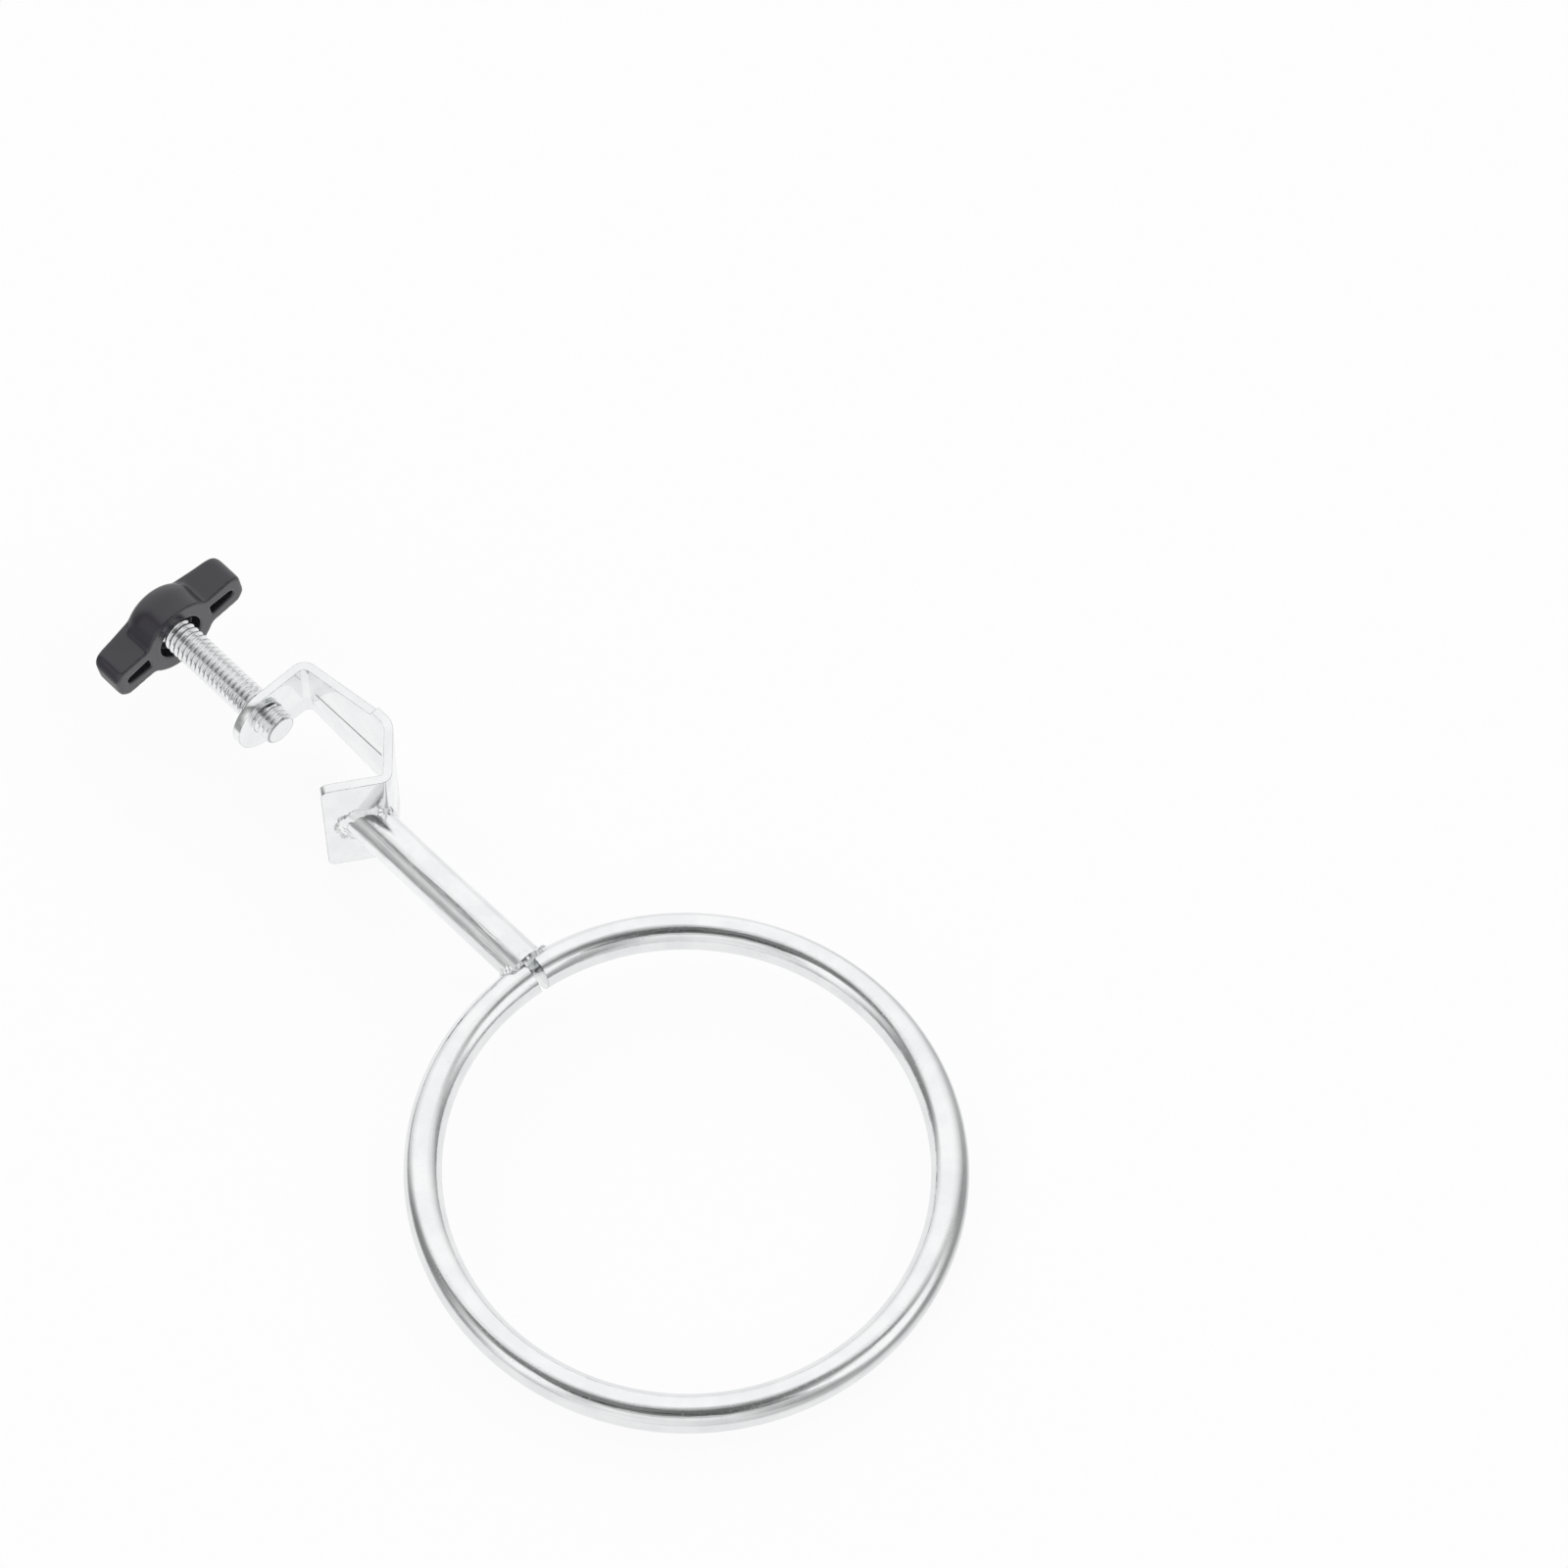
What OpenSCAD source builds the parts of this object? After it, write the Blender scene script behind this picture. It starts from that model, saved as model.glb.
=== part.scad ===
// Support ring clamp for a laboratory stand.
// An open ring of round bar is welded to a straight arm, and the arm to a folded strip
// bracket. The bracket's V jaw and its wing screw grip an upright rod.
// The origin is the ring's centre, +Z is up, the ring lies flat and the arm runs along -X.

/* [Ring] */
// Inside diameter of the ring
ring_inner_d = 101.6; // [70:0.1:150]
// Diameter of the round bar that the ring is bent from
bar_d = 7.94; // [6:0.01:10]
// Width of the gap between the two cut ends of the ring's bar
ring_gap = 2.7; // [1:0.1:6]
// Share of that width which is left at the ring's underside, where the cut ends lean together
gap_foot = 0.4; // [0.3:0.05:1]

/* [Arm] */
// Diameter of the arm's round bar
arm_d = 9.52; // [8:0.01:12]
// Reach from the ring's centre to the jaw's outer face, along the arm
arm_reach = 105.9; // [100:0.1:200]
// Sideways distance of the arm's axis from the ring's centre
arm_shift = 7.6; // [0:0.1:12]
// Depth of the hollow where the arm's end sits on the ring's bar
arm_cope = 1.4; // [0.5:0.1:2.5]

/* [Bracket strip] */
// Thickness of the folded strip
strip_t = 2; // [1.2:0.1:3]
// Height of the strip at the jaw
jaw_h = 31.8; // [24:0.1:45]
// Height of the ear that carries the screw
ear_h = 16.8; // [14:0.1:22]
// Height of the web's upper edge over the screw's axis, where the jaw begins
web_top = 14.4; // [10:0.1:15.5]
// Depth of the web's lower edge under the screw's axis, where the jaw begins
web_bottom = 11.3; // [8.5:0.1:11.8]
// Length of the web's inner face, from the ear to the fold of the jaw
web_len = 26.4; // [22:0.1:50]
// Length of the jaw's flank on the web's side, from its fold to the apex
flank_len = 12.5; // [10:0.1:20]
// Length of the jaw's free lip, from the apex to its end
lip_len = 13.8; // [8:0.1:20]
// Angle between the flank and the screw's axis
flank_angle = 43.7; // [35:0.1:55]
// Angle between the lip and the screw's axis
lip_angle = 57.3; // [45:0.1:65]
// Sideways distance of the jaw's inner apex from the arm's axis
apex_shift = 4.3; // [2:0.1:6]
// Corner radius at the lip's free end
lip_corner_r = 2; // [0.5:0.1:5]
// Length of the short slopes where the web steps up and down to the jaw's height
step_run = 0.8; // [0.2:0.1:2]
// Length of the web's full height part, between the upper slope and the fold of the jaw
step_back = 2.4; // [0.4:0.1:6]

/* [Folds] */
// Inside radius of the fold between ear and web
ear_fold_r = 1.6; // [0.5:0.1:3]
// Inside radius of the fold between web and flank
web_fold_r = 4; // [1:0.1:6]
// Inside radius of the fold at the apex of the jaw
apex_fold_r = 0.6; // [0.3:0.1:2]

/* [Scored line] */
// Radius of the cutter that scored the line along the web's inner face
score_r = 0.4; // [0.2:0.05:0.8]
// Depth of the scored line
score_depth = 0.3; // [0.1:0.05:0.5]
// Height of the scored line over the screw's axis
score_z = 0.3; // [-3:0.1:3]
// Distance of the scored line's round end from the ear's inner face
score_start = 3; // [2:0.1:8]

/* [Clamp screw] */
// Outer diameter of the screw's thread
screw_d = 7.9; // [6:0.1:9]
// Length of the screw, from its seat in the knob to its flat tip
screw_len = 41.9; // [36:0.1:70]
// How far the tip stands out of the ear's inner face
screw_out = 4.4; // [1:0.1:20]
// Chamfer round the flat tip
tip_chamfer = 0.5; // [0.2:0.1:1.5]
// Sideways distance of the screw's axis from the arm's axis
screw_shift = 1.5; // [-2:0.1:3]
// Running clearance round the screw, on the radius
screw_clearance = 0.05; // [0.01:0.01:0.1]

/* [Wing knob] */
// Depth of the hub, from its face to the top of its dome
hub_depth = 10.6; // [9.8:0.1:18]
// Diameter of the hub at its face
hub_d = 19.4; // [17:0.1:24]
// Radius of the dome's rounded edge
hub_round = 5.3; // [4:0.1:7]
// Span over both wings
wing_span = 36.8; // [32:0.1:50]
// Thickness of a wing
wing_t = 9.4; // [7.6:0.1:12]
// Depth of a wing along the screw, at its tip
wing_depth = 8; // [6:0.1:8.2]
// Angle at which a wing's back rises towards the hub
wing_rise = 8.4; // [0:0.1:8.6]
// Radius of the wing's tip corners
wing_tip_r = 3; // [1.5:0.1:3.6]
// Radius of the wing's rounded back edges
wing_edge_r = 1.2; // [0.4:0.1:1.4]
// Radius of the hollow blend between wing and hub
wing_blend_r = 2.2; // [1:0.1:4]
// Turn of the knob about the screw's axis
knob_turn = 6.7; // [0:0.1:90]
// Diameter of the round recess in the knob's face
recess_d = 11.4; // [10:0.1:14]
// Depth of that recess
recess_depth = 3; // [1:0.1:5]
// Length of screw that is held in the hub
screw_grip = 8.5; // [6:0.1:9]
// Width of a wing's slot at its inner end
slot_w = 3.4; // [2:0.1:5]
// Width of a wing's slot at its round outer end
slot_tip_w = 2.4; // [1:0.1:3]
// Length of a wing's slot
slot_len = 6.5; // [3:0.1:8]
// Wall between a slot's outer end and the wing's tip
slot_wall = 2.8; // [1.5:0.1:5]
// Depth of a wing's slot
slot_depth = 5.8; // [2:0.1:6.5]

/* [Weld beads] */
// Radius of a puddle in the bead at the ring
ring_weld_r = 1.3; // [1.2:0.1:1.3]
// Radius of a puddle in the bead at the jaw
jaw_weld_r = 1.8; // [1.6:0.1:2.2]

/* [Hidden] */

$fn = 96;
cut = 1;                 // how far a cutter runs past the face it cuts
far = 60;                // reach of a cutter that clears the whole bracket
ring_puddles = 20;       // puddles of weld round the arm at the ring
jaw_puddles = 12;        // puddles of weld round the arm at the jaw
lift = 0.2;              // how far a puddle's middle stands off the seam it covers
thinning = 0.002;        // what each face of the strip loses where it stretches round a fold
hair = 0.03;             // overlap that makes the knob's faces cross where they would just touch
wing_sink = 0.3;         // how far the top of a wing's ridge stays under the dome's top

bar_r = bar_d / 2;
ring_r = ring_inner_d / 2 + bar_r;
arm_r = arm_d / 2;
screw_r = screw_d / 2;
arm_y = arm_shift;
screw_y = arm_y + screw_shift;

// The ring's gap faces the arm
gap_middle = 180 - asin(arm_y / ring_r);

// The arm's ring end, sunk a little past the outermost line of the ring's bar
arm_end_x = -(sqrt(pow(ring_r + bar_r, 2) - pow(arm_y, 2)) - arm_cope);

function heading(angle) = [cos(angle), sin(angle)];
function outward(angle) = heading(angle + 90);

// Headings of the strip's flats, followed from the ear round to the lip
ear_heading = 90;
web_heading = 0;
flank_heading = -flank_angle;
lip_heading = lip_angle - 180;

// Corners of the strip's inner faces, from the point where the arm's axis meets the jaw
apex_run = (apex_shift - strip_t * cos(lip_angle)) / sin(lip_angle);
apex = [apex_run * cos(lip_angle) - strip_t * sin(lip_angle), apex_shift];
web_corner = apex - flank_len * heading(flank_heading);
ear_corner = web_corner - [web_len, 0];
ear_end = [ear_corner.x, screw_shift - ear_h / 2];
lip_end = apex + lip_len * heading(lip_heading);

// Along the web: where the ear's fold ends, and where the jaw's fold begins
web_start = ear_corner.x + ear_fold_r;
web_stop = web_corner.x - web_fold_r * tan(flank_angle / 2);

tip_x = ear_corner.x - arm_reach + screw_out;
knob_x = tip_x - screw_len + screw_grip;

// --- Ring and arm ---

module bent_bar(turn, start) {
    rotate_extrude(angle = turn, start = start) translate([ring_r, 0]) circle(r = bar_r);
}

// The space between the bar's two cut ends, narrower at the underside
module gap_cut() {
    half = bar_r + cut;
    rotate([0, 0, gap_middle]) translate([ring_r - half, 0, 0]) rotate([90, 0, 90])
        linear_extrude(2 * half) polygon([
            [-ring_gap / 2, half],
            [ring_gap / 2, half],
            [gap_foot * ring_gap / 2, -half],
            [-gap_foot * ring_gap / 2, -half],
        ]);
}

module support_ring() {
    color("lightsteelblue") difference() {
        bent_bar(360, 0);
        gap_cut();
    }
}

module at_jaw() {
    translate([-arm_reach, arm_y, 0]) children();
}

// The space behind the lip's outer face, where the arm's other end is cut off
module behind_lip() {
    at_jaw() rotate([0, 0, lip_angle]) translate([-far / 2, 0, -far / 2]) cube(far);
}

module arm_bar() {
    length = arm_reach + arm_end_x + arm_d;
    translate([arm_end_x - length, arm_y, 0]) rotate([0, 90, 0]) cylinder(r = arm_r, h = length);
}

module ring_arm() {
    color("lightsteelblue") difference() {
        arm_bar();
        bent_bar(360, 0);
        behind_lip();
    }
}

// --- Folded bracket ---

// Outer corner of the strip that belongs to an inner corner between two headings
function outer(corner, from, to) =
    corner + strip_t / cos((from - to) / 2) * outward((from + to) / 2);

// The strip seen from above with sharp corners
module sharp_strip() {
    polygon([
        ear_end,
        ear_corner,
        web_corner,
        apex,
        lip_end,
        lip_end + strip_t * outward(lip_heading),
        outer(apex, flank_heading, lip_heading),
        outer(web_corner, web_heading, flank_heading),
        outer(ear_corner, ear_heading, web_heading),
        ear_end + strip_t * outward(ear_heading),
    ]);
}

// Middle of the fold at an inner corner
function fold_middle(corner, radius, from, to) =
    corner - radius / cos((from - to) / 2) * outward((from + to) / 2);

// The wedge of the strip that a fold takes up
module fold_wedge(corner, radius, from, to) {
    reach = radius + strip_t + cut;
    middle = fold_middle(corner, radius, from, to);
    polygon([
        middle,
        middle + reach * outward(from),
        middle + reach / cos((from - to) / 2) * outward((from + to) / 2),
        middle + reach * outward(to),
    ]);
}

module fold(corner, radius, from, to) {
    middle = fold_middle(corner, radius, from, to);
    difference() {
        intersection() {
            translate(middle) circle(r = radius + strip_t - thinning);
            fold_wedge(corner, radius, from, to);
        }
        translate(middle) circle(r = radius + thinning);
    }
}

module folded_strip() {
    difference() {
        sharp_strip();
        fold_wedge(ear_corner, ear_fold_r, ear_heading, web_heading);
        fold_wedge(web_corner, web_fold_r, web_heading, flank_heading);
        fold_wedge(apex, apex_fold_r, flank_heading, lip_heading);
    }
    fold(ear_corner, ear_fold_r, ear_heading, web_heading);
    fold(web_corner, web_fold_r, web_heading, flank_heading);
    fold(apex, apex_fold_r, flank_heading, lip_heading);
}

module upright_strip() {
    translate([0, 0, -jaw_h / 2]) linear_extrude(jaw_h) folded_strip();
}

// What is cut off over the ear, outside its round end about the screw
module ear_cuts() {
    translate([ear_end.x - strip_t - cut, screw_shift, 0]) rotate([90, 0, 90])
        linear_extrude(strip_t + 2 * cut) {
            difference() {
                translate([-far, -far]) square([far, 2 * far]);
                circle(d = ear_h);
            }
            for (side = [-1, 1])
                translate([-far, side * (far + ear_h) / 2 - far / 2]) square([2 * far, far]);
        }
}

// What is cut off over and under the web, which widens towards the jaw
module web_cuts() {
    notch = web_stop - step_back - step_run;
    translate([0, ear_corner.y - ear_fold_r, 0]) rotate([90, 0, 0]) mirror([0, 0, 1])
        linear_extrude(far) {
            polygon([[-far, far], [-far, ear_h / 2], [web_start, ear_h / 2], [notch, web_top],
                     [notch + step_run, jaw_h / 2], [notch + step_run, far]]);
            polygon([[-far, -far], [-far, -ear_h / 2], [web_start, -ear_h / 2],
                     [web_stop - step_run, -web_bottom], [web_stop, -jaw_h / 2],
                     [web_stop, -far]]);
        }
}

// What is cut off round the two corners of the lip's free end
module lip_cuts() {
    corner = [lip_len - lip_corner_r, jaw_h / 2 - lip_corner_r];
    translate(apex) rotate([0, 0, lip_heading]) translate([0, -cut, 0]) rotate([90, 0, 0])
        mirror([0, 0, 1]) linear_extrude(strip_t + 2 * cut)
            for (side = [-1, 1])
                scale([1, side]) difference() {
                    translate(corner) square(lip_corner_r + cut);
                    translate(corner) circle(r = lip_corner_r);
                }
}

module scored_line() {
    start = ear_corner.x + score_start;
    translate([start, ear_corner.y + score_depth - score_r, score_z]) rotate([0, 90, 0])
        rotate_extrude() {
            square([score_r, web_stop - score_r - start]);
            intersection() {
                circle(r = score_r);
                translate([0, -score_r]) square(score_r);
            }
        }
}

module screw_hole() {
    translate([ear_corner.x - strip_t - cut, screw_shift, 0]) rotate([0, 90, 0])
        cylinder(r = screw_r + screw_clearance, h = strip_t + 2 * cut);
}

module clamp_bracket() {
    color("silver") at_jaw() difference() {
        upright_strip();
        ear_cuts();
        web_cuts();
        lip_cuts();
        scored_line();
        screw_hole();
    }
}

// --- Weld beads ---

// Where the arm's surface meets the ring's bar, at an angle round the arm
function ring_seam(angle) = let (
    y = arm_y + (arm_r + lift) * cos(angle),
    z = (arm_r + lift) * sin(angle),
    bulge = max(sqrt(max(0, pow(bar_r, 2) - pow(z, 2))), bar_r - arm_cope)
) [-sqrt(pow(ring_r + bulge + lift, 2) - pow(y, 2)), y, z];

// Where the arm's surface meets the lip's outer face, at an angle round the arm
function jaw_seam(angle) = let (
    y = (arm_r + lift) * cos(angle)
) [y / tan(lip_angle) + lift, y, (arm_r + lift) * sin(angle)];

module ring_weld() {
    color("lightgray") difference() {
        for (i = [1 : ring_puddles])
            translate(ring_seam(360 * i / ring_puddles)) rotate([90, 0, 0])
                sphere(r = ring_weld_r);
        arm_bar();
        bent_bar(360, 0);
    }
}

module jaw_weld() {
    color("lightgray") difference() {
        at_jaw() for (i = [1 : jaw_puddles])
            translate(jaw_seam(360 * i / jaw_puddles)) sphere(r = jaw_weld_r);
        arm_bar();
        behind_lip();
    }
}

// --- Clamp screw and wing knob, both built along +Z with the knob's face at 0 ---

module on_screw_axis() {
    translate([knob_x, screw_y, 0]) rotate([0, -90, 0]) children();
}

module clamp_screw() {
    shank = screw_len - screw_grip - tip_chamfer;
    color("gainsboro") on_screw_axis() {
        translate([0, 0, -shank]) cylinder(r = screw_r, h = shank + screw_grip);
        translate([0, 0, -shank - tip_chamfer])
            cylinder(r1 = screw_r - tip_chamfer, r2 = screw_r, h = tip_chamfer);
    }
}

// Half of the hub's section: a straight skirt under a rounded, flat topped dome
module hub_section() {
    hub_r = hub_d / 2;
    square([hub_r, hub_depth - hub_round]);
    square([hub_r - hub_round, hub_depth]);
    translate([hub_r - hub_round, hub_depth - hub_round]) intersection() {
        circle(r = hub_round);
        square(hub_round);
    }
}

// Section across a wing, with rounded back edges and running on past the knob's face
module wing_section() {
    half = wing_t / 2;
    flat = half - wing_edge_r;
    translate([-half, -wing_depth]) square([wing_t, 2 * wing_depth - wing_edge_r]);
    translate([-flat, -wing_depth]) square([2 * flat, 2 * wing_depth]);
    for (side = [-1, 1])
        translate([side * flat, wing_depth - wing_edge_r]) circle(r = wing_edge_r);
}

// Outline of a wing seen along the screw, a hair larger than the wing itself
module wing_outline() {
    half = wing_t / 2 + hair;
    end = wing_span / 2 + hair;
    radius = wing_tip_r + hair;
    corner_x = half - radius;
    corner_y = end - radius;
    translate([-half, 0]) square([2 * half, corner_y]);
    translate([-corner_x, 0]) square([2 * corner_x, end]);
    for (side = [-1, 1]) translate([side * corner_x, corner_y]) circle(r = radius);
}

// Outline of a wing seen from its flat side, with its rounded back corner, a hair lower
module wing_profile() {
    end = wing_span / 2;
    depth = wing_depth - hair;
    round_y = end - wing_edge_r;
    round_z = depth + wing_edge_r * (tan(wing_rise) - 1 / cos(wing_rise));
    slope = [sin(wing_rise), cos(wing_rise)];
    middle = [round_y, round_z];
    polygon([
        [0, 0],
        [end, 0],
        [end, round_z],
        middle,
        middle + wing_edge_r * slope,
        [0, depth + end * tan(wing_rise)],
    ]);
    intersection() {
        translate(middle) circle(r = wing_edge_r);
        polygon([middle, [end, round_z], [end, depth], middle + wing_edge_r * slope]);
    }
}

module wing() {
    end = wing_span / 2;
    intersection() {
        translate([0, end, wing_depth]) rotate([-wing_rise, 0, 0])
            translate([0, cut, -wing_depth]) rotate([90, 0, 0])
                linear_extrude(end + 2 * cut) wing_section();
        linear_extrude(hub_depth - wing_sink) wing_outline();
        translate([-wing_t, 0, 0]) rotate([90, 0, 90]) linear_extrude(2 * wing_t) wing_profile();
    }
}

// Hollow blends between a wing and the hub, seen along the screw: each cuts a hair into both
module blend_outline() {
    reach = wing_t / 2 + wing_blend_r - hair;
    spread = hub_d / 2 + wing_blend_r - hair;
    middle_y = sqrt(pow(spread, 2) - pow(reach, 2));
    for (side = [-1, 1])
        difference() {
            polygon([[0, 0], [side * reach, middle_y], [0, middle_y]]);
            translate([side * reach, middle_y]) circle(r = wing_blend_r);
        }
}

// A wing's slot: square at its inner end and round at its outer end
module slot_outline() {
    outer = wing_span / 2 - slot_wall;
    round_y = outer - slot_tip_w / 2;
    polygon([[-slot_w / 2, outer - slot_len], [slot_w / 2, outer - slot_len],
             [slot_tip_w / 2, round_y], [-slot_tip_w / 2, round_y]]);
    translate([0, round_y]) circle(d = slot_tip_w);
}

module wing_knob() {
    color("#242426") on_screw_axis() rotate([0, 0, -knob_turn]) difference() {
        union() {
            rotate_extrude() hub_section();
            for (turn = [0, 180]) rotate([0, 0, turn]) {
                wing();
                linear_extrude(wing_depth - wing_edge_r / 2) blend_outline();
            }
        }
        for (turn = [0, 180]) rotate([0, 0, turn])
            translate([0, 0, -cut]) linear_extrude(slot_depth + cut) slot_outline();
        translate([0, 0, -cut]) cylinder(d = recess_d, h = recess_depth + cut);
        cylinder(r = screw_r + screw_clearance, h = screw_grip + screw_clearance);
    }
}

support_ring();
ring_arm();
clamp_bracket();
ring_weld();
jaw_weld();
clamp_screw();
wing_knob();
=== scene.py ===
import math
import bpy
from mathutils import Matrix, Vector
from mathutils.bvhtree import BVHTree


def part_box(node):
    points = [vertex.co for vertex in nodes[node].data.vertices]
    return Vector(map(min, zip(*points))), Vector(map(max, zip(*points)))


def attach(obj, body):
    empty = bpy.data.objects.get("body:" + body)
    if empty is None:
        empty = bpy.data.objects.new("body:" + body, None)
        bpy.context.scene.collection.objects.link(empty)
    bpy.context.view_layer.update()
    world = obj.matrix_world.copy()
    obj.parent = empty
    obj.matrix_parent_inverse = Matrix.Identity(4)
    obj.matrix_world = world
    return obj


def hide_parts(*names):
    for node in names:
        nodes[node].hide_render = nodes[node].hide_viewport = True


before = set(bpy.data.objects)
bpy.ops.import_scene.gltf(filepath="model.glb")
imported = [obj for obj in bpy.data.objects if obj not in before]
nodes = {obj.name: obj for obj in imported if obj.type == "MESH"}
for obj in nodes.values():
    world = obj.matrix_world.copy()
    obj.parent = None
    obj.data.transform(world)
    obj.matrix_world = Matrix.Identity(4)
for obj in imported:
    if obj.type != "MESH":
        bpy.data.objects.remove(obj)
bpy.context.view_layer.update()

mm = 0.001


class Wire:
    # A socket with arithmetic: an expression on wires adds its Math nodes
    def __init__(self, tree, socket):
        self.tree = tree
        self.socket = socket

    def node(self, kind, settings=None, inputs=None, output=0):
        made = self.tree.nodes.new(kind)
        for name, value in (settings or {}).items():
            setattr(made, name, value)
        for name, value in (inputs or {}).items():
            if isinstance(value, Wire):
                self.tree.links.new(value.socket, made.inputs[name])
            else:
                made.inputs[name].default_value = value
        return Wire(self.tree, made.outputs[output]) if made.outputs else None

    def math(self, operation, first, second=0.0, clamp=False):
        return self.node("ShaderNodeMath", {"operation": operation, "use_clamp": clamp},
                         {0: first, 1: second})

    def __add__(self, other):
        return self.math("ADD", self, other)

    def __sub__(self, other):
        return self.math("SUBTRACT", self, other)

    def __rsub__(self, other):
        return self.math("SUBTRACT", other, self)

    def __mul__(self, other):
        return self.math("MULTIPLY", self, other)

    def __truediv__(self, other):
        return self.math("DIVIDE", self, other)

    __radd__ = __add__
    __rmul__ = __mul__

    def clamped(self):
        return self.math("ADD", self, 0.0, clamp=True)

    def inMillimetres(self):
        return self.node("ShaderNodeVectorMath", {"operation": "SCALE"},
                         {0: self, "Scale": 1.0 / mm})

    def split(self):
        made = self.tree.nodes.new("ShaderNodeSeparateXYZ")
        self.tree.links.new(self.socket, made.inputs[0])
        return [Wire(self.tree, place) for place in made.outputs]

    def join(self, x, y, z):
        return self.node("ShaderNodeCombineXYZ", None, {0: x, 1: y, 2: z})

    def noise(self, scale, detail=3.0, roughness=0.5):
        return self.node("ShaderNodeTexNoise", None,
                         {"Vector": self, "Scale": scale, "Detail": detail,
                          "Roughness": roughness})

    def between(self, low, high, start=0.0, end=1.0, shape="LINEAR"):
        return self.node("ShaderNodeMapRange", {"interpolation_type": shape},
                         {"Value": self, "From Min": low, "From Max": high,
                          "To Min": start, "To Max": end})

    def tint(self, dark, light):
        return self.node("ShaderNodeMix", {"data_type": "RGBA"},
                         {0: self, 6: (*dark, 1.0), 7: (*light, 1.0)}, output=2)


def newMaterial(name):
    material = bpy.data.materials.new(name)
    material.use_nodes = True
    tree = material.node_tree
    shader = tree.nodes["Principled BSDF"]
    start = Wire(tree, tree.nodes.new("ShaderNodeTexCoord").outputs["Object"])
    return material, shader, start


def feed(shader, name, wire):
    wire.tree.links.new(wire.socket, shader.inputs[name])


# Finishes

zinc = {
    "light": (0.930, 0.938, 0.942),      # bright zinc plating
    "dark": (0.870, 0.882, 0.890),       # the cloudier patches in it
    "roughness": (0.03, 0.08),
    "cloudScale": 0.16,                  # all scales are per millimetre
    "cloudSpan": (0.38, 0.62),           # noise levels that fade from dark to light
    "dullSpan": (0.35, 0.65),            # and from bright to dull
    "grainScale": 1.6,
    "grainStretch": 0.05,                # drawing lines run along the bar or strip
    "grainHeight": 0.0030,               # millimetres
    "speckScale": 2.6,
    "speckSpan": (0.60, 0.74),           # noise levels that make a pit
    "speckHeight": 0.010,
    "speckRoughness": 0.12,
    "ringRadius": 54.8,                  # the drawing lines follow this circle
    # Sharp edges get painted dark lines in place of the dark reflections along them
    "paintedLineReach": 0.38,                   # reach of the painted dark reflection lines along sharp edges, which are also duller
    "paintedLineSpan": (0.012, 0.10),           # how sharp an edge has to be to get a painted line
    "paintedLineColor": (0.34, 0.35, 0.36),
    "edgeRoughness": 0.12,
    # Noise that breaks the painted edge lines up, and the least share of them it leaves
    "lineBreakScale": 1.3,
    "lineBreakSpan": (0.38, 0.58),
    "lineBreakLeast": 0.35,
    "paintedRimRadius": (3.22, 3.36),           # painted dark line round the rim of the screw's tip, in place of the chamfer's reflection
    "paintedRimDepth": (0.36, 0.24),
}


def alongX(place):
    return place


def alongRing(place):
    # Unrolls the ring, so that its drawing lines follow the bend
    x, y, z = place.split()
    turn = place.math("ARCTAN2", y, x)
    out = place.math("SQRT", x * x + y * y)
    return place.join(turn * zinc["ringRadius"], out, z)


def paintedEdgeLines(place):
    # One along a sharp edge and nought on the open faces, broken up by noise: a mask for
    # painted dark reflection lines
    rounded = place.node("ShaderNodeBevel", {"samples": 6},
                         {"Radius": zinc["paintedLineReach"] * mm})
    normal = place.node("ShaderNodeNewGeometry", output="Normal")
    likeness = place.node("ShaderNodeVectorMath", {"operation": "DOT_PRODUCT"},
                          {0: rounded, 1: normal}, output="Value")
    lineBreaks = place.noise(zinc["lineBreakScale"], 3.0, 0.65)
    return ((1.0 - likeness).between(*zinc["paintedLineSpan"])
            * lineBreaks.between(*zinc["lineBreakSpan"], zinc["lineBreakLeast"], 1.0))


def paintedTipRimLine(place):
    # One along the rim of the screw's flat tip, where the chamfer meets the face: a mask for
    # a painted dark line
    low, high = (Vector(corner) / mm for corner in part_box("clamp_screw"))
    x, y, z = place.split()
    across = y - (low.y + high.y) / 2
    out = place.math("SQRT", across * across + z * z)
    start, end = (high.x - depth for depth in zinc["paintedRimDepth"])
    return out.between(*zinc["paintedRimRadius"]) * x.between(start, end)


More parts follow.
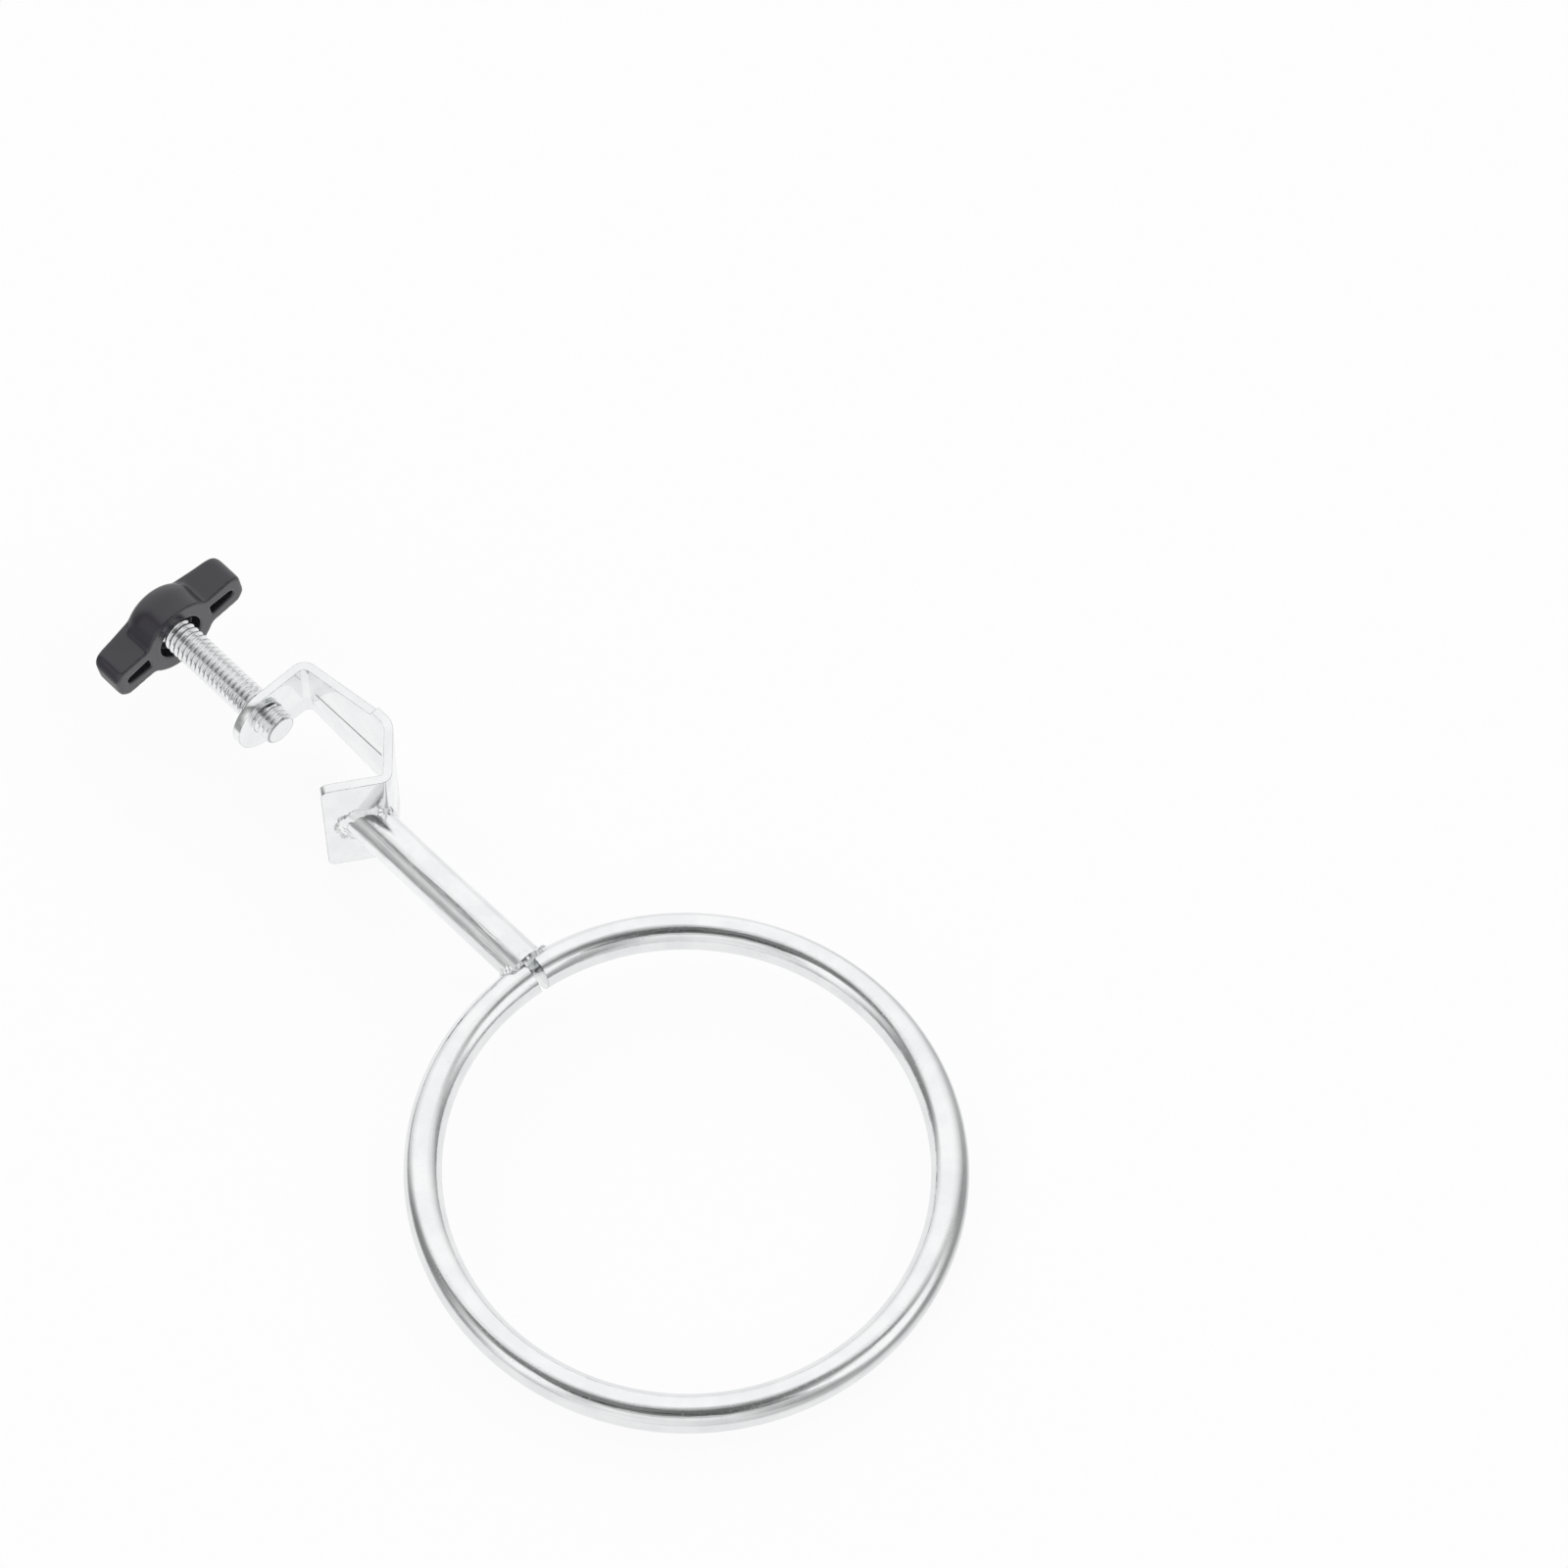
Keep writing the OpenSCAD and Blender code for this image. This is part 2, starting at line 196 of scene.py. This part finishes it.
def zincPlate(name, follow=alongX, rough=0.0, bumpy=1.0, drawn=1.0, shade=1.0,
              paintedLineStrength=0.0, paintedLineMask=paintedEdgeLines):
    # Rough adds to the dullness; bumpy and drawn are strengths of pits and lines and of the
    # lines alone; shade scales the colour down; the strength after it is of the painted dark
    # lines on the mask
    material, shader, start = newMaterial(name)
    place = start.inMillimetres()
    lines = follow(place)
    x, y, z = lines.split()
    stretched = place.join(x * zinc["grainStretch"], y, z)
    cloud = place.noise(zinc["cloudScale"], 4.0)
    grain = stretched.noise(zinc["grainScale"], 3.0, 0.6)
    speck = place.noise(zinc["speckScale"], 2.0, 0.7)
    pits = speck.between(*zinc["speckSpan"])
    low, high = zinc["roughness"]
    color = cloud.between(*zinc["cloudSpan"]).tint(
        [part * shade for part in zinc["dark"]], [part * shade for part in zinc["light"]])
    dullness = (cloud.between(*zinc["dullSpan"], low + rough, high + rough)
                + pits * zinc["speckRoughness"])
    # Painted dark reflection lines where the mask is, which also make the plating duller
    # there
    if paintedLineStrength:
        paintedLineShare = paintedLineMask(place) * paintedLineStrength
        color = paintedLineShare.node("ShaderNodeMix", {"data_type": "RGBA"},
                         {0: paintedLineShare, 6: color, 7: (*zinc["paintedLineColor"], 1.0)}, output=2)
        dullness = dullness + paintedLineShare * zinc["edgeRoughness"]
    feed(shader, "Base Color", color)
    feed(shader, "Roughness", dullness)
    height = (grain * (zinc["grainHeight"] * drawn) - pits * zinc["speckHeight"]) * bumpy
    bump = height.node("ShaderNodeBump", None,
                       {"Height": height, "Strength": 1.0, "Distance": mm})
    feed(shader, "Normal", bump)
    shader.inputs["Metallic"].default_value = 1.0
    return material


plastic = {
    "dark": (0.034, 0.031, 0.041),
    "light": (0.050, 0.046, 0.058),
    "roughness": (0.14, 0.19),
    "gloss": 0.62,
    "cloudScale": 0.12,                  # per millimetre
    "cloudHeight": 0.03,                 # millimetres: the faces are slightly uneven
    "skinScale": 3.4,
    "skinHeight": 0.0010,
    "skinRoughness": 0.05,
    "dustScale": 1.1,
    "dustSpan": (0.74, 0.78),            # noise levels that make a speck of dust
}


def knobPlastic():
    material, shader, start = newMaterial("blackKnobPlastic")
    place = start.inMillimetres()
    cloud = place.noise(plastic["cloudScale"], 3.0)
    skin = place.noise(plastic["skinScale"], 3.0, 0.6)
    dust = place.noise(plastic["dustScale"], 1.0).between(*plastic["dustSpan"])
    paleness = (cloud.between(0.35, 0.65) * 0.5 + dust * 0.5).clamped()
    feed(shader, "Base Color", paleness.tint(plastic["dark"], plastic["light"]))
    feed(shader, "Roughness", (cloud.between(0.3, 0.7, *plastic["roughness"])
                               + skin * plastic["skinRoughness"]))
    height = skin * plastic["skinHeight"] + cloud * plastic["cloudHeight"]
    bump = height.node("ShaderNodeBump", None,
                       {"Height": height, "Strength": 1.0, "Distance": mm})
    feed(shader, "Normal", bump)
    shader.inputs["Specular IOR Level"].default_value = plastic["gloss"]
    return material


ringZinc = zincPlate("ringZinc", alongRing, drawn=7.0, paintedLineStrength=0.6)
armZinc = zincPlate("armZinc", drawn=26.0)
stripZinc = zincPlate("stripZinc", rough=0.01, bumpy=1.2, shade=0.98, paintedLineStrength=0.9)
screwZinc = zincPlate("screwZinc", rough=0.09, bumpy=0.8, shade=0.98,
                      paintedLineStrength=0.75, paintedLineMask=paintedTipRimLine)
weldZinc = zincPlate("weldZinc", rough=0.02, bumpy=2.0, shade=0.98)
knobBlack = knobPlastic()
print("finishes made")


def wear(piece, material):
    piece.data.materials.clear()
    piece.data.materials.append(material)


# Modelling helpers


def pickOnly(piece):
    bpy.ops.object.select_all(action="DESELECT")
    piece.select_set(True)
    bpy.context.view_layer.objects.active = piece


def addModifier(piece, kind, **settings):
    modifier = piece.modifiers.new(kind.title(), kind)
    for name, value in settings.items():
        setattr(modifier, name, value)
    return modifier


def applyAll(piece):
    pickOnly(piece)
    for modifier in list(piece.modifiers):
        bpy.ops.object.modifier_apply(modifier=modifier.name)


def settle(piece):
    # Puts a piece's place into its mesh
    pickOnly(piece)
    bpy.ops.object.transform_apply(location=True, rotation=True, scale=True)


# The solids that keep their own shape

bars = {
    "support_ring": ringZinc,
    "ring_arm": armZinc,
    "clamp_bracket": stripZinc,
}
solids = {
    "merge": 0.004,          # the solids' triangles are loose: points this near are one
    "smoothAngle": 32.0,
    "edgeWidth": 0.16,       # the bracket's edges are rounded, and catch the light
    "edgeAngle": 35.0,
}

for name, finish in bars.items():
    wear(nodes[name], finish)
    pickOnly(nodes[name])
    bpy.ops.object.shade_smooth_by_angle(angle=math.radians(solids["smoothAngle"]))
addModifier(nodes["clamp_bracket"], "WELD", merge_threshold=solids["merge"] * mm)
addModifier(nodes["clamp_bracket"], "BEVEL", width=solids["edgeWidth"] * mm, segments=3,
            limit_method="ANGLE", angle_limit=math.radians(solids["edgeAngle"]),
            miter_outer="MITER_ARC", harden_normals=False)
print("ring, arm and bracket dressed")


def looseCopy(node, name):
    # A copy of a solid with its points merged, free to be reshaped
    pickOnly(nodes[node])
    bpy.ops.object.duplicate()
    piece = bpy.context.object
    for key in list(piece.keys()):
        del piece[key]
    piece.parent = None
    piece.name = name
    bpy.ops.object.mode_set(mode="EDIT")
    bpy.ops.mesh.select_all(action="SELECT")
    bpy.ops.mesh.remove_doubles(threshold=solids["merge"] * mm)
    bpy.ops.object.mode_set(mode="OBJECT")
    return piece


# Moulded knob

knob = {
    "turn": 6.7,             # degrees that the wings are turned about the screw
    "voxel": 0.24,
    "allTurns": 5,           # smoothing passes: everywhere, then the two groups
    "tipTurns": 70,
    "backTurns": 40,
    "tipReach": 3.2,         # the tips' back corners are rounded this far in
    "tipFull": 1.0,          # and fully this far in
    "endShare": 0.5,         # share of that rounding for the tips' other corners
    "endReach": 2.2,
    "endFull": 0.8,
    "backFrom": 5.0,         # depth where the dome starts to flow into the wings
    "backFull": 7.0,
    "backSpan": (12.0, 15.0),   # and how far out along the wings it does
}


def ramp(value, low, high):
    return min(1.0, max(0.0, (value - low) / (high - low)))


def mouldedKnob():
    low, high = (Vector(corner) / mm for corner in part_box("wing_knob"))
    axisY, axisZ = (low.y + high.y) / 2, (low.z + high.z) / 2
    turn = math.radians(knob["turn"])
    piece = looseCopy("wing_knob", "mouldedKnob")
    addModifier(piece, "REMESH", mode="VOXEL", voxel_size=knob["voxel"] * mm)
    applyAll(piece)
    groups = {name: piece.vertex_groups.new(name=name) for name in ("tips", "back")}
    places = []
    for point in piece.data.vertices:
        spot = point.co / mm
        side = (spot.y - axisY) * math.cos(turn) + (spot.z - axisZ) * math.sin(turn)
        places.append((abs(side), high.x - spot.x))
    span = max(place[0] for place in places)
    tipDepth = max(depth for side, depth in places if side > span - 2.0)
    for index, (side, depth) in enumerate(places):
        tip = (ramp(side, span - knob["tipReach"], span - knob["tipFull"])
               * ramp(depth, tipDepth - knob["tipReach"], tipDepth - knob["tipFull"]))
        end = ramp(side, span - knob["endReach"], span - knob["endFull"])
        tip = max(tip, knob["endShare"] * end)
        back = (ramp(depth, knob["backFrom"], knob["backFull"])
                * (1.0 - ramp(side, *knob["backSpan"])))
        groups["tips"].add([index], tip, "REPLACE")
        groups["back"].add([index], back, "REPLACE")
    for turns, group in (("allTurns", ""), ("tipTurns", "tips"), ("backTurns", "back")):
        addModifier(piece, "SMOOTH", factor=0.5, iterations=knob[turns], vertex_group=group)
        applyAll(piece)
    piece.vertex_groups.clear()
    bpy.ops.object.shade_smooth()
    wear(piece, knobBlack)
    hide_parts("wing_knob")
    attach(piece, "knob")
    print("knob moulded:", len(piece.data.polygons), "faces")


mouldedKnob()

# Clamp screw with its rolled thread

thread = {
    "pitch": 1.4111,
    "crest": 3.945,          # radii
    "root": 3.24,
    # Half a turn's profile from the middle of the crest to the middle of the root:
    # distance along the screw and depth below the crest, both as shares
    "profile": [(0.0, 0.0), (0.13, 0.015), (0.26, 0.075), (0.37, 0.20), (0.80, 0.90),
                (0.90, 0.98), (1.0, 1.0)],
    "steps": 72,             # to a turn
    "spareTurns": 2,         # past each end, where the winding's seam lies
    "spare": 0.07,           # length left past each end by the first cut
    "tipChamfer": 0.5,
    "smoothAngle": 40.0,
}


def pickRim(screw, place):
    # The open edges left at one end by a cut
    bpy.ops.object.mode_set(mode="EDIT")
    bpy.ops.mesh.select_mode(type="EDGE")
    bpy.ops.mesh.select_all(action="DESELECT")
    bpy.ops.object.mode_set(mode="OBJECT")
    points = screw.data.vertices
    atCut = 0.01 * mm
    uses = {}
    for face in screw.data.polygons:
        for key in face.edge_keys:
            uses[key] = uses.get(key, 0) + 1
    for edge in screw.data.edges:
        near = all(abs(points[end].co.x - place) < atCut for end in edge.vertices)
        edge.select = near and uses.get(edge.key, 0) == 1
    bpy.ops.object.mode_set(mode="EDIT")


def threadedScrew():
    low, high = (Vector(corner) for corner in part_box("clamp_screw"))
    axisY, axisZ = (low.y + high.y) / 2, (low.z + high.z) / 2
    length = (high.x - low.x) / mm
    pitch, crest, spareTurns = thread["pitch"], thread["crest"], thread["spareTurns"]
    turns = math.ceil(length / pitch) + 2 * spareTurns
    depth = crest - thread["root"]
    half = [(share * pitch / 2, crest - drop * depth) for share, drop in thread["profile"]]
    profile = half + [(pitch - along, radius) for along, radius in reversed(half[:-1])]
    # One vertex, drawn out along the profile, then wound round the axis
    bpy.ops.object.select_all(action="DESELECT")
    bpy.ops.mesh.primitive_plane_add(size=mm, location=(0, 0, 0))
    screw = bpy.context.object
    screw.name = "threadedScrew"
    bpy.ops.object.mode_set(mode="EDIT")
    bpy.ops.mesh.select_all(action="SELECT")
    bpy.ops.mesh.merge(type="CENTER")
    first = profile[0]
    bpy.ops.transform.translate(value=(first[0] * mm, first[1] * mm, 0))
    for before, after in zip(profile, profile[1:]):
        step = ((after[0] - before[0]) * mm, (after[1] - before[1]) * mm, 0)
        bpy.ops.mesh.extrude_region_move(TRANSFORM_OT_translate={"value": step})
    bpy.ops.object.mode_set(mode="OBJECT")
    addModifier(screw, "SCREW", axis="X", angle=math.radians(360.0), steps=thread["steps"],
                render_steps=thread["steps"], screw_offset=pitch * mm, iterations=turns,
                use_merge_vertices=False)
    applyAll(screw)
    screw.location = (low.x - spareTurns * pitch * mm, axisY, axisZ)
    settle(screw)
    # Both ends cut square, then closed
    bpy.ops.object.mode_set(mode="EDIT")
    bpy.ops.mesh.select_all(action="SELECT")
    bpy.ops.mesh.remove_doubles(threshold=0.002 * mm)
    ends = ((low.x - thread["spare"] * mm, -1), (high.x + thread["spare"] * mm, 1))
    for place, outward in ends:
        bpy.ops.mesh.select_all(action="SELECT")
        bpy.ops.mesh.bisect(plane_co=(place, axisY, axisZ), plane_no=(outward, 0, 0),
                            clear_outer=True, threshold=0.0001 * mm)
    for place, _ in ends:
        pickRim(screw, place)
        bpy.ops.mesh.edge_face_add()
    bpy.ops.mesh.select_all(action="SELECT")
    bpy.ops.mesh.normals_make_consistent(inside=False)
    bpy.ops.object.mode_set(mode="OBJECT")
    # What a chamfered blank has in common with it is the screw
    bpy.ops.object.select_all(action="DESELECT")
    bpy.ops.mesh.primitive_cylinder_add(
        vertices=96, radius=(crest + 0.003) * mm, depth=high.x - low.x,
        location=((low.x + high.x) / 2, axisY, axisZ), rotation=(0, math.radians(90.0), 0))
    blank = bpy.context.object
    settle(blank)
    bpy.ops.object.mode_set(mode="EDIT")
    bpy.ops.mesh.select_mode(type="FACE")
    bpy.ops.mesh.select_all(action="DESELECT")
    bpy.ops.object.mode_set(mode="OBJECT")
    for face in blank.data.polygons:
        face.select = face.center.x > high.x - 0.01 * mm and face.normal.x > 0.9
    bpy.ops.object.mode_set(mode="EDIT")
    bpy.ops.mesh.bevel(offset=thread["tipChamfer"] * mm, segments=1, affect="EDGES")
    bpy.ops.object.mode_set(mode="OBJECT")
    addModifier(screw, "BOOLEAN", operation="INTERSECT", object=blank, solver="EXACT")
    applyAll(screw)
    bpy.data.objects.remove(blank)
    pickOnly(screw)
    bpy.ops.object.shade_smooth_by_angle(angle=math.radians(thread["smoothAngle"]))
    wear(screw, screwZinc)
    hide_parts("clamp_screw")
    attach(screw, "knob")
    print("screw threaded:", len(screw.data.polygons), "faces")


threadedScrew()

# Weld beads: sizes in millimetres. The swell sinks a bead's foot into the bars it joins,
# and the cap is how far it then stands off them. The fillet fills the corner between
# them, and past its width the bead runs out into the bars at the slope below.
beadSlope = 0.6
weldBeads = {
    "ringWeldBead": {"node": "ring_weld", "hosts": ("ring_arm", "support_ring"),
                     "voxel": 0.11, "swell": 0.12, "smoothTurns": 14,
                     "lumpSize": 0.8, "lumpDepth": 1, "lumpHeight": 0.25,
                     "cap": 0.10, "fillet": 1.7, "width": 1.1,
                     "ripples": 34, "rippleHeight": 0.13},
    "jawWeldBead": {"node": "jaw_weld", "hosts": ("ring_arm", "clamp_bracket"),
                    "voxel": 0.13, "swell": 0.2, "smoothTurns": 30,
                    "lumpSize": 2.6, "lumpDepth": 0, "lumpHeight": 0.6,
                    "cap": 0.14, "fillet": 1.8, "width": 1.0,
                    "ripples": 11, "rippleHeight": 0.30},
}


def surfaceOf(node):
    mesh = nodes[node].data
    return BVHTree.FromPolygons([point.co.copy() for point in mesh.vertices],
                                [tuple(face.vertices) for face in mesh.polygons])


def standOff(spot, hosts, fillet):
    # How far a spot is off the joined pair, and the way out from them
    near = []
    for host in hosts:
        place, normal = host.find_nearest(spot)[:2]
        near.append(((spot - place).dot(normal) / mm, normal))
    (firstGap, firstWay), (otherGap, otherWay) = sorted(near, key=lambda pair: pair[0])
    blend = max(fillet - (otherGap - firstGap), 0.0) / fillet
    off = firstGap - blend * blend * fillet / 4
    return off, otherGap, firstWay * (1.0 - blend / 2) + otherWay * (blend / 2)


def hugHosts(piece, bead):
    # Draws each point in until it stands no further off than the rippled cap
    hosts = [surfaceOf(node) for node in bead["hosts"]]
    low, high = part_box("ring_arm")
    axisY, axisZ = (low.y + high.y) / 2, (low.z + high.z) / 2
    for point in piece.data.vertices:
        around = math.atan2(point.co.z - axisZ, point.co.y - axisY) * bead["ripples"]
        ripple = abs(math.cos(around / 2 + 2.0 * math.sin(around / 7.3)))
        cap = bead["cap"] + bead["rippleHeight"] * ripple
        for turn in range(4):
            off, away, way = standOff(point.co, hosts, bead["fillet"])
            limit = cap - max(away - bead["width"], 0.0) * beadSlope
            if off > limit and way.length > 0.2:
                point.co -= way * ((off - limit) * mm / way.length_squared)


def weldBead(name, bead):
    node = bead["node"]
    piece = looseCopy(node, name)
    addModifier(piece, "REMESH", mode="VOXEL", voxel_size=bead["voxel"] * mm)
    addModifier(piece, "DISPLACE", strength=bead["swell"] * mm, mid_level=0.0)
    applyAll(piece)
    addModifier(piece, "REMESH", mode="VOXEL", voxel_size=bead["voxel"] * mm)
    addModifier(piece, "SMOOTH", factor=0.5, iterations=bead["smoothTurns"])
    lumps = bpy.data.textures.new(name + "Lumps", "CLOUDS")
    lumps.noise_scale = bead["lumpSize"] * mm
    lumps.noise_depth = bead["lumpDepth"]
    addModifier(piece, "DISPLACE", texture=lumps, texture_coords="LOCAL",
                strength=bead["lumpHeight"] * mm, mid_level=0.5)
    applyAll(piece)
    hugHosts(piece, bead)
    addModifier(piece, "SMOOTH", factor=0.5, iterations=4)
    applyAll(piece)
    bpy.ops.object.shade_smooth()
    wear(piece, weldZinc)
    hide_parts(node)
    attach(piece, "frame")
    print(name, len(piece.data.polygons), "faces")


for name, bead in weldBeads.items():
    weldBead(name, bead)

# Floor, light and camera

stage = {
    # The clamp lies on the jaw's lower edge and the ring's far side
    "touch": (-103.7, 12.0, -15.95),
    "slope": (0.0734, -0.0169),
    "size": 3000.0,
    "floorColor": (0.93, 0.93, 0.93),
    "cameraGlow": 0.86,          # share of plain white in what the camera sees of the floor
    "glowStrength": 1.04,
    "mirrorGlow": 0.92,          # the same share in what the bright metal mirrors
    # In the metal's reflections the floor glows as a painted white sheet under the piece,
    # and beyond it as a painted darker room.
    # A patch of the sheet has its middle, where its edge starts and ends, and its level
    "patches": [(-29.0, -16.0, 89.0, 112.0, 0.86), (-128.0, 8.0, 42.0, 62.0, 0.96)],
    "far": 0.56,
    "farSwing": 0.28,            # darker along one line, lighter across it
    "farTurn": 32.0,
}


def makeFloor():
    normal = Vector((-stage["slope"][0], -stage["slope"][1], 1.0)).normalized()
    bpy.ops.object.select_all(action="DESELECT")
    bpy.ops.mesh.primitive_plane_add(
        size=stage["size"] * mm, location=[part * mm for part in stage["touch"]],
        rotation=normal.to_track_quat("Z", "Y").to_euler())
    floor = bpy.context.object
    floor.name = "floor"
    settle(floor)
    material = bpy.data.materials.new("paleFloor")
    material.use_nodes = True
    tree = material.node_tree
    tree.nodes.clear()
    path = tree.nodes.new("ShaderNodeLightPath")
    camera = Wire(tree, path.outputs["Is Camera Ray"])
    mirror = Wire(tree, path.outputs["Is Glossy Ray"])
    place = camera.node("ShaderNodeTexCoord", output="Object").inMillimetres()
    x, y, z = place.split()
    turn = math.radians(stage["farTurn"])
    middleX, middleY = stage["patches"][0][:2]
    offX, offY = x - middleX, y - middleY
    onward = offX * math.cos(turn) + offY * math.sin(turn)
    sideways = offY * math.cos(turn) - offX * math.sin(turn)
    ratio = ((onward * onward - sideways * sideways)
             / (onward * onward + sideways * sideways + 1.0))
    mirrored = stage["far"] - ratio * stage["farSwing"]
    for middleX, middleY, start, end, level in stage["patches"]:
        offX, offY = x - middleX, y - middleY
        reach = place.math("SQRT", offX * offX + offY * offY)
        patch = reach.between(start, end, 1.0, 0.0, "SMOOTHSTEP")
        mirrored = mirrored * (1.0 - patch) + patch * level
    matt = camera.node("ShaderNodeBsdfDiffuse", None, {"Color": (*stage["floorColor"], 1.0)})
    glow = camera.node("ShaderNodeEmission", None, {
        "Color": camera + (1.0 - camera) * mirrored, "Strength": stage["glowStrength"]})
    mixed = camera.node("ShaderNodeMixShader", None, {
        0: camera * stage["cameraGlow"] + mirror * stage["mirrorGlow"], 1: matt, 2: glow})
    camera.node("ShaderNodeOutputMaterial", None, {"Surface": mixed})
    wear(floor, material)


# The light tent is white all round, with a few dark gaps that the bright plating mirrors.
# A gap has its place and half size in degrees, along the tent's seam and across it.
tent = {
    "along": (0.70774, 0.70558, 0.03542),      # the seam's direction to the right
    "front": (0.19144, -0.23980, 0.95176),     # the seam's middle, by the lens
    "across": (-0.68004, 0.66682, 0.30480),
    "reach": 60.0,                 # degrees each way over which the levels below are passed
    "lower": 1.03,
    "upper": 0.99,
    "gaps": [
        # along, across, half length, half width, how dark, how soft
        (115, -30, 41, 59.4, 0.63, 0.29),
        (110, -59, 117, 23.8, 0.43, 0.98),
        (-116, -16, 39, 59.9, 0.49, 0.98),
        (137, 28, 64, 20.7, 0.66, 0.98),
        (-76, 7, 34, 15.7, 0.70, 0.71),
        (-7, 3, 33, 13.4, 0.79, 0.41),
        (-91, -43, 53, 10.1, 0.39, 0.98),
        (52, -36, 27, 13.0, 0.53, 0.58),
        (2, -12, 26, 8.9, 0.68, 0.06),
        (5, -22, 35, 11.0, 0.39, 0.19),
        (36, 20, 51, 7.4, 0.36, 0.98),
        (-84, -17, 23, 9.7, 0.49, 0.61),
        (8, 9, 9, 26.6, 0.31, 0.29),
        (27, 14, 15, 6.0, 0.65, 0.90),
        (78, 13, 13, 12.8, 0.25, 0.28),
        (-40, 11, 16, 4.2, 0.50, 0.45),
        (-19, -10, 9, 5.9, 0.54, 0.12),
        (14, 21, 8, 4.6, 0.36, 0.40),
        (-33, -32, 8, 4.0, 0.33, 0.59),
    ],
}


def makeTent():
    world = bpy.data.worlds.new("lightTent")
    bpy.context.scene.world = world
    world.use_nodes = True
    tree = world.node_tree
    tree.nodes.clear()
    way = Wire(tree, tree.nodes.new("ShaderNodeTexCoord").outputs["Generated"])

    right, front, up = (
        way.node("ShaderNodeVectorMath", {"operation": "DOT_PRODUCT"},
                 {0: way, 1: tent[name]}, output="Value")
        for name in ("along", "front", "across"))
    along = way.math("ARCTAN2", right, front) * math.degrees(1.0)
    across = way.math("ARCSINE", up) * math.degrees(1.0)
    level = across.between(-tent["reach"], tent["reach"], tent["lower"], tent["upper"])
    for place, height, halfLength, halfWidth, dark, soft in tent["gaps"]:
        turned = along.node("ShaderNodeMath", {"operation": "WRAP"},
                            {0: along - place, 1: 180.0, 2: -180.0}) / halfLength
        raised = (across - height) / halfWidth
        reach = way.math("SQRT", turned * turned + raised * raised)
        fade = reach.between(1.0 - soft, 1.0 + soft, 1.0, 0.0, "SMOOTHSTEP")
        level = level * (1.0 - fade * dark)
    path = tree.nodes.new("ShaderNodeLightPath")
    camera = Wire(tree, path.outputs["Is Camera Ray"])
    shown = camera.node("ShaderNodeMix", {"data_type": "FLOAT"},
                        {0: camera, 2: level, 3: 1.0})
    background = shown.node("ShaderNodeBackground", None,
                            {"Color": (1.0, 1.0, 1.0, 1.0), "Strength": shown})
    background.node("ShaderNodeOutputWorld", None, {"Surface": background})


# Millimetres and degrees
camera = {
    "place": (243.652, -254.824, 776.136),
    "turn": (29.75739, -2.02969, 44.91234),
    "lens": 93.771,
    "sensor": 36.0,
    "nearest": 10.0,
    "farthest": 20000.0,
}


def makeCamera():
    bpy.ops.object.select_all(action="DESELECT")
    bpy.ops.object.camera_add(location=[part * mm for part in camera["place"]],
                              rotation=[math.radians(part) for part in camera["turn"]])
    made = bpy.context.object
    made.data.lens = camera["lens"]
    made.data.sensor_width = camera["sensor"]
    made.data.clip_start = camera["nearest"] * mm
    made.data.clip_end = camera["farthest"] * mm
    bpy.context.scene.camera = made


makeFloor()
makeTent()
makeCamera()
bpy.context.scene.view_settings.view_transform = "Standard"
print("stage set")
